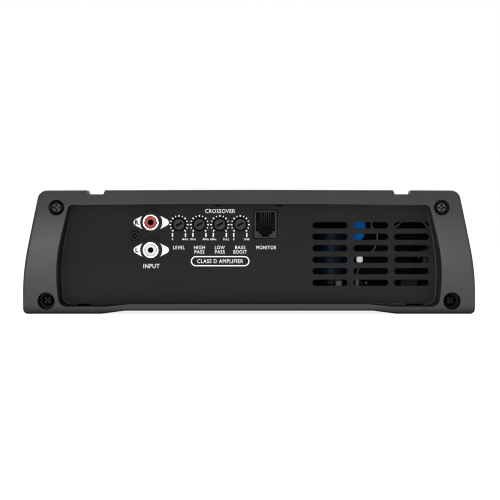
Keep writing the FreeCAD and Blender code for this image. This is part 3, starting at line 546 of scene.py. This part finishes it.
# pieces that differ from their slot's look: a screw and contacts painted darker, and the loom
# painted shade: the screw and the contacts stand deep in holes or behind the panel, so they are made
# darker
for node_name, material in (
    ("rca_screw", metal("shaded_screw", (0.02, 0.02, 0.021), 0.45, metallic=0.9, size=0.5, pocket=1.6)),
    ("rca_center_contacts", metal("shaded_contact", (0.05, 0.038, 0.02), 0.5, pocket=8.0)),
    ("monitor_jack_contacts", metal("shaded_jack_contact", (0.06, 0.06, 0.06), 0.45, pocket=1.0)),
    ("loom_plugs", loom_plastic("loom_plastic")),
):
    nodes[node_name].data.materials[0] = material

white_ink = ink("white_ink", (0.92, 0.92, 0.91))
black_ink = ink("black_ink", (0.01, 0.01, 0.01))


# ---- mesh building blocks ------------------------------------------------------------------------
def new_piece(name, bm, material, body=BODY, smooth=True):
    """A finished mesh piece, in the row frame, riding on a body."""
    mesh = bpy.data.meshes.new(name)
    bmesh.ops.recalc_face_normals(bm, faces=bm.faces)
    for face in bm.faces:
        face.smooth = smooth
    bm.to_mesh(mesh)
    bm.free()
    if smooth:
        mesh.set_sharp_from_angle(angle=math.radians(35))
    mesh.materials.append(material)
    piece = bpy.data.objects.new(name, mesh)
    bpy.context.scene.collection.objects.link(piece)
    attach(piece, body)
    return piece


def skin(bm, rings, closed=False):
    """Faces between neighbouring rings of as many vertices each; closed joins the last to the first."""
    pairs = list(zip(rings, rings[1:]))
    if closed:
        pairs.append((rings[-1], rings[0]))
    for here, there in pairs:
        for k in range(len(here)):
            m = (k + 1) % len(here)
            bm.faces.new((here[k], here[m], there[m], there[k]))


def type_mesh(words, weight=0.0, spacing=1.0):
    """The words in the built-in font at size 1, as a flat mesh. weight pushes the outlines out."""
    curve = bpy.data.curves.new("line", "FONT")
    curve.body = words
    curve.size = 1.0
    curve.offset = weight
    curve.space_character = spacing
    curve.resolution_u = 3
    holder = bpy.data.objects.new("line", curve)
    bpy.context.scene.collection.objects.link(holder)
    bpy.context.view_layer.update()
    mesh = bpy.data.meshes.new_from_object(holder.evaluated_get(bpy.context.evaluated_depsgraph_get()))
    bpy.data.objects.remove(holder)
    bpy.data.curves.remove(curve)
    return mesh


def capital_share():
    """Height of a capital in the built-in font, as a share of its size."""
    mesh = type_mesh("E")
    height = max(v.co.y for v in mesh.vertices)
    bpy.data.meshes.remove(mesh)
    return height


CAP_SHARE = capital_share()
LETTER_SPACING = 1.1
INK_FILM = 0.04                        # the white print's stand above the panel
OVERPRINT = 0.07                       # the black print's, over the white


class Print:
    """Flat ink shapes on an upright panel. Across and up are in mm as one reads them."""

    def __init__(self, surface, facing, lift):
        self.bm = bmesh.new()
        self.surface = surface
        self.facing = facing
        self.lift = lift

    def point(self, across, up, lift=None):
        y = self.surface + self.facing * (self.lift if lift is None else lift)
        x = across if self.facing < 0 else -across
        return Vector((x, y, up)) * MM

    def polygon(self, outline):
        """A filled outline with a thin edge down to the panel."""
        top = [self.bm.verts.new(self.point(*p)) for p in outline]
        foot = [self.bm.verts.new(self.point(*p, 0.0)) for p in outline]
        self.bm.faces.new(top)
        skin(self.bm, [foot, top])

    def strip(self, outer, inner):
        """The band between two outlines with matching points."""
        rings = [[self.bm.verts.new(self.point(*p)) for p in line] for line in (outer, inner)]
        skin(self.bm, rings)

    def bar(self, across, up, wide, tall, angle=0.0):
        """A rectangle turned about its own middle; angle in radians, clockwise from upright."""
        c, s = math.cos(angle), math.sin(angle)
        square = [(wide * x / 2, tall * y / 2) for x, y in ((-1, -1), (1, -1), (1, 1), (-1, 1))]
        self.polygon([(across + x * c + y * s, up - x * s + y * c) for x, y in square])

    def text(self, words, across, up, cap, wide=None, weight=0.0):
        """Lettering centred on a point. cap is the capitals' height; wide, if given, the line's width."""
        mesh = type_mesh(words, weight, LETTER_SPACING)
        xs = [v.co.x for v in mesh.vertices]
        middle_x = (max(xs) + min(xs)) / 2
        tall = cap / CAP_SHARE
        stretch = wide / (max(xs) - min(xs)) if wide else tall
        base = up - cap / 2
        made = []
        for v in mesh.vertices:
            place = self.point(across + (v.co.x - middle_x) * stretch, base + v.co.y * tall)
            made.append(self.bm.verts.new(place))
        for polygon in mesh.polygons:
            self.bm.faces.new([made[i] for i in polygon.vertices])
        bpy.data.meshes.remove(mesh)

    def done(self, name, material):
        return new_piece(name, self.bm, material, smooth=False)


def pill(cx, cz, wide, tall, steps=16):
    """Outline of a bar with round ends."""
    radius = tall / 2
    reach = wide / 2 - radius
    points = []
    for side in (1, -1):
        for i in range(steps + 1):
            a = math.pi * (i / steps - 0.5)
            points.append((cx + side * (reach + radius * math.cos(a)), cz + side * radius * math.sin(a)))
    return points


# ---- legends on the control panel ----------------------------------------------------------------
legend = Print(-PANEL_FACE, -1, INK_FILM)
mask = Print(-PANEL_FACE, -1, OVERPRINT)
TITLE, CAPTION, WORD, MARK = 2.2, 2.0, 1.75, 0.95     # capital heights
WORD_ROW = 2.3                                        # from one row of words to the next


def lens_wing(cx, cz, side):
    """One wing of the lens: an arc round the collar, then two straight edges to a rounded tip."""
    arc_radius, tip_radius, tip_at = 5.8, 1.75, 7.45
    spread = math.radians(37)
    count = 12
    points = []
    for i in range(count + 1):
        a = -spread + 2 * spread * i / count
        points.append((arc_radius * math.cos(a), arc_radius * math.sin(a)))
    run_x, run_y = tip_at - points[-1][0], points[-1][1]
    lean = math.atan2(run_y, run_x) - math.asin(tip_radius / math.hypot(run_x, run_y))
    for i in range(count + 1):
        a = (math.pi / 2 - lean) * (1 - 2 * i / count)
        points.append((tip_at + tip_radius * math.cos(a), tip_radius * math.sin(a)))
    return [(cx + side * x, cz + y) for x, y in points]


def socket_legends():
    """A white lens round each phono socket with its letter in black, and the caption below the pair."""
    letter_out, letter_weight = 7.5, 0.05
    right, left = centre("rca_red_insert"), centre("rca_white_insert")
    for letter, middle in (("R", right), ("L", left)):
        for side in (-1, 1):
            legend.polygon(lens_wing(middle.x, middle.z, side))
        mask.text(letter, middle.x - letter_out, middle.z, TITLE, None, letter_weight)
    legend.text("INPUT", right.x + 0.1, left.z - 8.4, TITLE, 8.4)


# per dial: the words under it with their widths, then the marks at the two ends of the sweep
DIALS = {
    "level": ((("LEVEL", 6.0),), "0", "MAX"),
    "high_pass": ((("HIGH", 5.6), ("PASS", 5.1)), "10Hz", "80Hz"),
    "low_pass": ((("LOW", 5.1), ("PASS", 5.1)), "80Hz", "FULL"),
    "bass_boost": ((("BASS", 5.3), ("BOOST", 7.0)), "0", "10dB"),
}
DIAL_UP = centre("level_shaft").z
WORDS_UP = DIAL_UP - 12.1


def dial_scale(middle):
    """Thirteen ticks over the dial's sweep, alternately long and short."""
    ticks, sweep, radius, drop = 13, math.radians(270), 4.55, 0.15
    for i in range(ticks):
        angle = sweep * (i / (ticks - 1) - 0.5)
        wide, tall = (0.42, 0.66) if i % 2 else (0.58, 0.86)
        x, z = middle.x + radius * math.sin(angle), middle.z - drop + radius * math.cos(angle)
        legend.bar(x, z, wide, tall, angle)


def dial_legends():
    """Scale, end marks and words of each dial."""
    end_out, leader_wide, leader_tall, mark_weight = 3.4, 0.58, 2.1, 0.008
    for name, (title, low_mark, high_mark) in DIALS.items():
        middle = centre(name + "_shaft")
        dial_scale(middle)
        for side, mark in ((-1, low_mark), (1, high_mark)):
            x = middle.x + side * end_out
            legend.bar(x, DIAL_UP - 5.55, leader_wide, leader_tall)
            legend.text(mark, x, DIAL_UP - 7.8, MARK, None, mark_weight)
        for row, (word, wide) in enumerate(title):
            legend.text(word, middle.x, WORDS_UP - WORD_ROW * row, WORD, wide)


def caption_legends():
    """The dials' heading, the outlined badge under them and the jack's caption."""
    heading_x = (centre("high_pass_shaft").x + centre("low_pass_shaft").x) / 2 + 5.5
    badge_up, badge_wide, badge_tall, line = DIAL_UP - 19.25, 30.6, 5.3, 0.55
    legend.text("CROSSOVER", heading_x, DIAL_UP + 6.9, CAPTION, 15.6)
    outer = pill(heading_x, badge_up, badge_wide, badge_tall)
    inner = pill(heading_x, badge_up, badge_wide - 2 * line, badge_tall - 2 * line)
    legend.strip(outer, inner)
    legend.text("CLASS D AMPLIFIER", heading_x, badge_up, CAPTION, 24.0)
    legend.text("MONITOR", centre("monitor_jack").x + 0.4, WORDS_UP, WORD, 10.4)


socket_legends()
dial_legends()
caption_legends()
legend.done("control_legends", white_ink)
mask.done("socket_letters", black_ink)


# ---- legends on the terminal panel ---------------------------------------------------------------
def terminal_legends():
    """Captions over the terminal blocks and lamps, and an outlined heading over the power block."""
    rear = Print(corners("rear_panel")[1].y, 1, INK_FILM)
    gap, lamp_cap = 3.1, 1.5

    def caption(words, x, up, cap=TITLE):
        rear.text(words, -x, up, cap)

    def top(block):
        return corners(block)[1].z + gap

    caption("+12V", centre("positive_screw").x, top("power_block"))
    caption("GND", centre("negative_screw").x, top("power_block"))
    caption("REM", centre("remote_screw").x, top("remote_block"), CAPTION)
    plus, minus = centre("speaker_positive_screw").x, centre("speaker_negative_screw").x
    caption("+", plus, top("speaker_block"))
    caption("-", minus, top("speaker_block"))
    caption("SPEAKER OUTPUT", (plus + minus) / 2, top("speaker_block") + 5.0, CAPTION)
    lamp_up = corners("power_lamp")[1].z + 2.2
    caption("POWER", centre("power_lamp").x + 1.6, lamp_up, lamp_cap)
    caption("PROTECT", centre("protect_lamp").x - 1.6, lamp_up, lamp_cap)

    low, high = corners("power_block")
    middle, wide, tall, line = (low.x + high.x) / 2, high.x - low.x, 6.4, 0.6
    up = top("power_block") + 8.0
    outer = pill(-middle, up, wide, tall)
    inner = pill(-middle, up, wide - 2 * line, tall - 2 * line)
    rear.strip(outer, inner)
    caption("POWER INPUT", middle, up)
    rear.done("terminal_legends", white_ink)


terminal_legends()


# ---- wound coils ---------------------------------------------------------------------------------
def winding(name, node, middle, hole, outer, turns, wire):
    """Enamelled wire of radius wire laid round a ring core, turn by turn, as one closed tube."""
    low, high = corners(node)
    per_turn, sides, squareness = 16, 6, 1 / 2.2
    count = turns * per_turn
    mid_r, half_r = (hole + outer) / 2, (outer - hole) / 2 - wire
    mid_z, half_z = (low.z + high.z) / 2, (high.z - low.z) / 2 - wire

    def station(i):
        """A point of the wire's path: a rounded square round the core, while it walks round the ring."""
        spin = 2 * math.pi * i / count
        phase = 2 * math.pi * (i % per_turn) / per_turn
        c, s = math.cos(phase), math.sin(phase)
        radial = mid_r + math.copysign(abs(c) ** squareness, c) * half_r
        up = mid_z + math.copysign(abs(s) ** squareness, s) * half_z
        return Vector((middle[0] + radial * math.cos(spin), middle[1] + radial * math.sin(spin), up))

    bm = bmesh.new()
    points = [station(i) for i in range(count)]
    rings = []
    for i, p in enumerate(points):
        along = (points[(i + 1) % count] - points[i - 1]).normalized()
        spin = 2 * math.pi * i / count
        flat = Vector((-math.sin(spin), math.cos(spin), 0))
        first = (flat - along * flat.dot(along)).normalized()
        second = along.cross(first)
        ring = []
        for k in range(sides):
            a = 2 * math.pi * k / sides
            outward = first * (wire * math.cos(a)) + second * (wire * math.sin(a))
            ring.append(bm.verts.new((p + outward) * MM))
        rings.append(ring)
    skin(bm, rings, closed=True)
    piece = new_piece(name, bm, looks["copper"])
    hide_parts(node)


def transformer_coil():
    """46 turns of heavy wire."""
    node = "transformer_winding"
    low, high = corners(node)
    hole, outer = 9.0, (high.x - low.x) / 2
    winding("transformer_turns", node, centre(node), hole, outer, 46, 1.0)


def inductor_coils():
    """Two chokes of 24 turns each, in opposite corners of their shared box."""
    node = "inductor_windings"
    low, high = corners(node)
    hole, outer = 5.0, 15.0
    left, right = (low.x + outer, low.y + outer), (high.x - outer, high.y - outer)
    winding("inductor_turns_left", node, left, hole, outer, 24, 0.75)
    winding("inductor_turns_right", node, right, hole, outer, 24, 0.75)


transformer_coil()
inductor_coils()


# ---- fan rotor -----------------------------------------------------------------------------------
HUB_RADIUS, BLADE_TIP, SPINDLE = 9.0, 18.3, 1.45
BLADES, BLADE_SPANS, BLADE_CHORDS = 7, 8, 10
BLADE_DEPTH = 5.0                      # half of what the blades may take up along the spindle


def fan_hub(bm, around, y0, y1):
    """A cap with a rounded rim and a short spindle behind it, turned from one profile."""
    sides = 48
    back = y0 + 1.65
    profile = [
        (0.0, y1),
        (HUB_RADIUS - 2.2, y1),
        (HUB_RADIUS - 0.8, y1 - 0.4),
        (HUB_RADIUS - 0.1, y1 - 1.4),
        (HUB_RADIUS, y1 - 3),
        (HUB_RADIUS, back + 0.25),
        (HUB_RADIUS - 0.4, back),
        (SPINDLE, back),
        (SPINDLE, y0 + 0.05),
        (0.0, y0),
    ]
    rings = []
    for radius, y in profile:
        rings.append([bm.verts.new(around(radius, 2 * math.pi * k / sides, y)) for k in range(sides)])
    skin(bm, rings)
    bmesh.ops.remove_doubles(bm, verts=bm.verts, dist=1e-7)


def blade_point(around, start, middle_y, side, t, w):
    """A point of a blade's face: t runs 0..1 from root to tip, w -0.5..0.5 along the chord."""
    root = HUB_RADIUS - 0.6
    radius = root + (BLADE_TIP - root) * t
    pitch = math.radians(42 - 14 * t)
    lens = 1 - (2 * w) ** 2
    along = w * (8.6 + 1.2 * t)
    off = 1.1 * lens + side * (0.375 * lens ** 0.5 + 0.02)
    sideways = along * math.cos(pitch) - off * math.sin(pitch)
    depth = along * math.sin(pitch) + off * math.cos(pitch)
    angle = start + sideways / radius + 0.16 * t
    return around(radius, angle, middle_y + max(-BLADE_DEPTH, min(BLADE_DEPTH, depth)))


def fan_blade(bm, around, start, middle_y):
    """One cambered, twisted blade: two faces joined at both edges and the tip, open inside the hub."""
    faces = []
    for side in (1, -1):
        grid = []
        for i in range(BLADE_SPANS + 1):
            row = []
            for k in range(BLADE_CHORDS + 1):
                t, w = i / BLADE_SPANS, k / BLADE_CHORDS - 0.5
                row.append(bm.verts.new(blade_point(around, start, middle_y, side, t, w)))
            grid.append(row)
        faces.append(grid)
        for i in range(BLADE_SPANS):
            for k in range(BLADE_CHORDS):
                bm.faces.new((grid[i][k], grid[i][k + 1], grid[i + 1][k + 1], grid[i + 1][k]))
    front, back = faces
    for i in range(BLADE_SPANS):
        for edge in (0, -1):
            bm.faces.new((front[i][edge], front[i + 1][edge], back[i + 1][edge], back[i][edge]))
    for k in range(BLADE_CHORDS):
        bm.faces.new((front[-1][k], front[-1][k + 1], back[-1][k + 1], back[-1][k]))


def fan_blades():
    """The hub and its blades, which stand in for the plain rotor and turn with it."""
    low, high = corners("fan_rotor")
    hub = centre("fan_frame")
    bm = bmesh.new()

    def around(radius, angle, y):
        return Vector((hub.x + radius * math.cos(angle), y, hub.z + radius * math.sin(angle))) * MM

    fan_hub(bm, around, low.y, high.y)
    for blade in range(BLADES):
        fan_blade(bm, around, 2 * math.pi * blade / BLADES, (low.y + high.y) / 2 + 0.9)
    piece = new_piece("fan_blades", bm, looks["black_plastic"], body="fan_rotor")
    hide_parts("fan_rotor")


fan_blades()


# ---- floor, light and camera, in metres ----------------------------------------------------------
def floor():
    bm = bmesh.new()
    bmesh.ops.create_grid(bm, x_segments=1, y_segments=1, size=30)
    mesh = bpy.data.meshes.new("floor")
    bm.to_mesh(mesh)
    bm.free()
    mesh.materials.append(floor_paint("floor_paint"))
    ground = bpy.data.objects.new("floor", mesh)
    bpy.context.scene.collection.objects.link(ground)


def aim(thing, place, target):
    """Puts a lamp or camera at a place, looking at a target."""
    thing.location = place
    thing.rotation_mode = "QUATERNION"
    thing.rotation_quaternion = (Vector(target) - Vector(place)).to_track_quat("-Z", "Y")


def area_light(name, place, target, wide, tall, power):
    data = bpy.data.lights.new(name, "AREA")
    data.shape = "RECTANGLE"
    data.size, data.size_y = wide, tall
    data.energy = power
    lamp = bpy.data.objects.new(name, data)
    bpy.context.scene.collection.objects.link(lamp)
    aim(lamp, place, target)


def studio():
    """A white surround, dimmer as a light than it looks to the camera, and three soft lamps."""
    surround_light, surround_seen = 0.46, 1.0
    world = bpy.data.worlds.new("studio")
    bpy.context.scene.world = world
    world.use_nodes = True
    tree = world.node_tree
    background = tree.nodes["Background"]
    path = tree.nodes.new("ShaderNodeLightPath")
    strength = tree.nodes.new("ShaderNodeMapRange")
    tree.links.new(path.outputs["Is Camera Ray"], strength.inputs[0])
    strength.inputs[3].default_value = surround_light
    strength.inputs[4].default_value = surround_seen
    background.inputs["Color"].default_value = (1, 1, 1, 1)
    tree.links.new(strength.outputs[0], background.inputs["Strength"])
    control_end = (0, -0.1, 0.03)
    area_light("top_light", (0.0, 0.1, 1.6), (0, 0, 0), 2.4, 2.0, 16)
    area_light("front_light", (-0.08, -1.75, 0.06), control_end, 0.3, 0.16, 5)
    area_light("side_light", (0.9, -1.5, 0.3), control_end, 0.3, 0.3, 1.2)


def camera():
    """Straight in front of the control end and slightly above its middle, with a long lens."""
    distance, seen_wide, raised = 1.4, 0.259, 0.0133
    data = bpy.data.cameras.new("camera")
    data.sensor_width = 36
    data.lens = data.sensor_width * distance / seen_wide
    data.clip_start, data.clip_end = 0.05, 60
    eye = bpy.data.objects.new("camera", data)
    bpy.context.scene.collection.objects.link(eye)
    target = Vector((0.0005, cad_low.y, 0.0332))
    aim(eye, target + Vector((0, -distance, raised)), target)
    bpy.context.scene.camera = eye


floor()
studio()
camera()
bpy.context.scene.view_settings.view_transform = "Standard"
bpy.context.scene.cycles.filter_width = 1.15     # in picture points; keeps the small print sharp
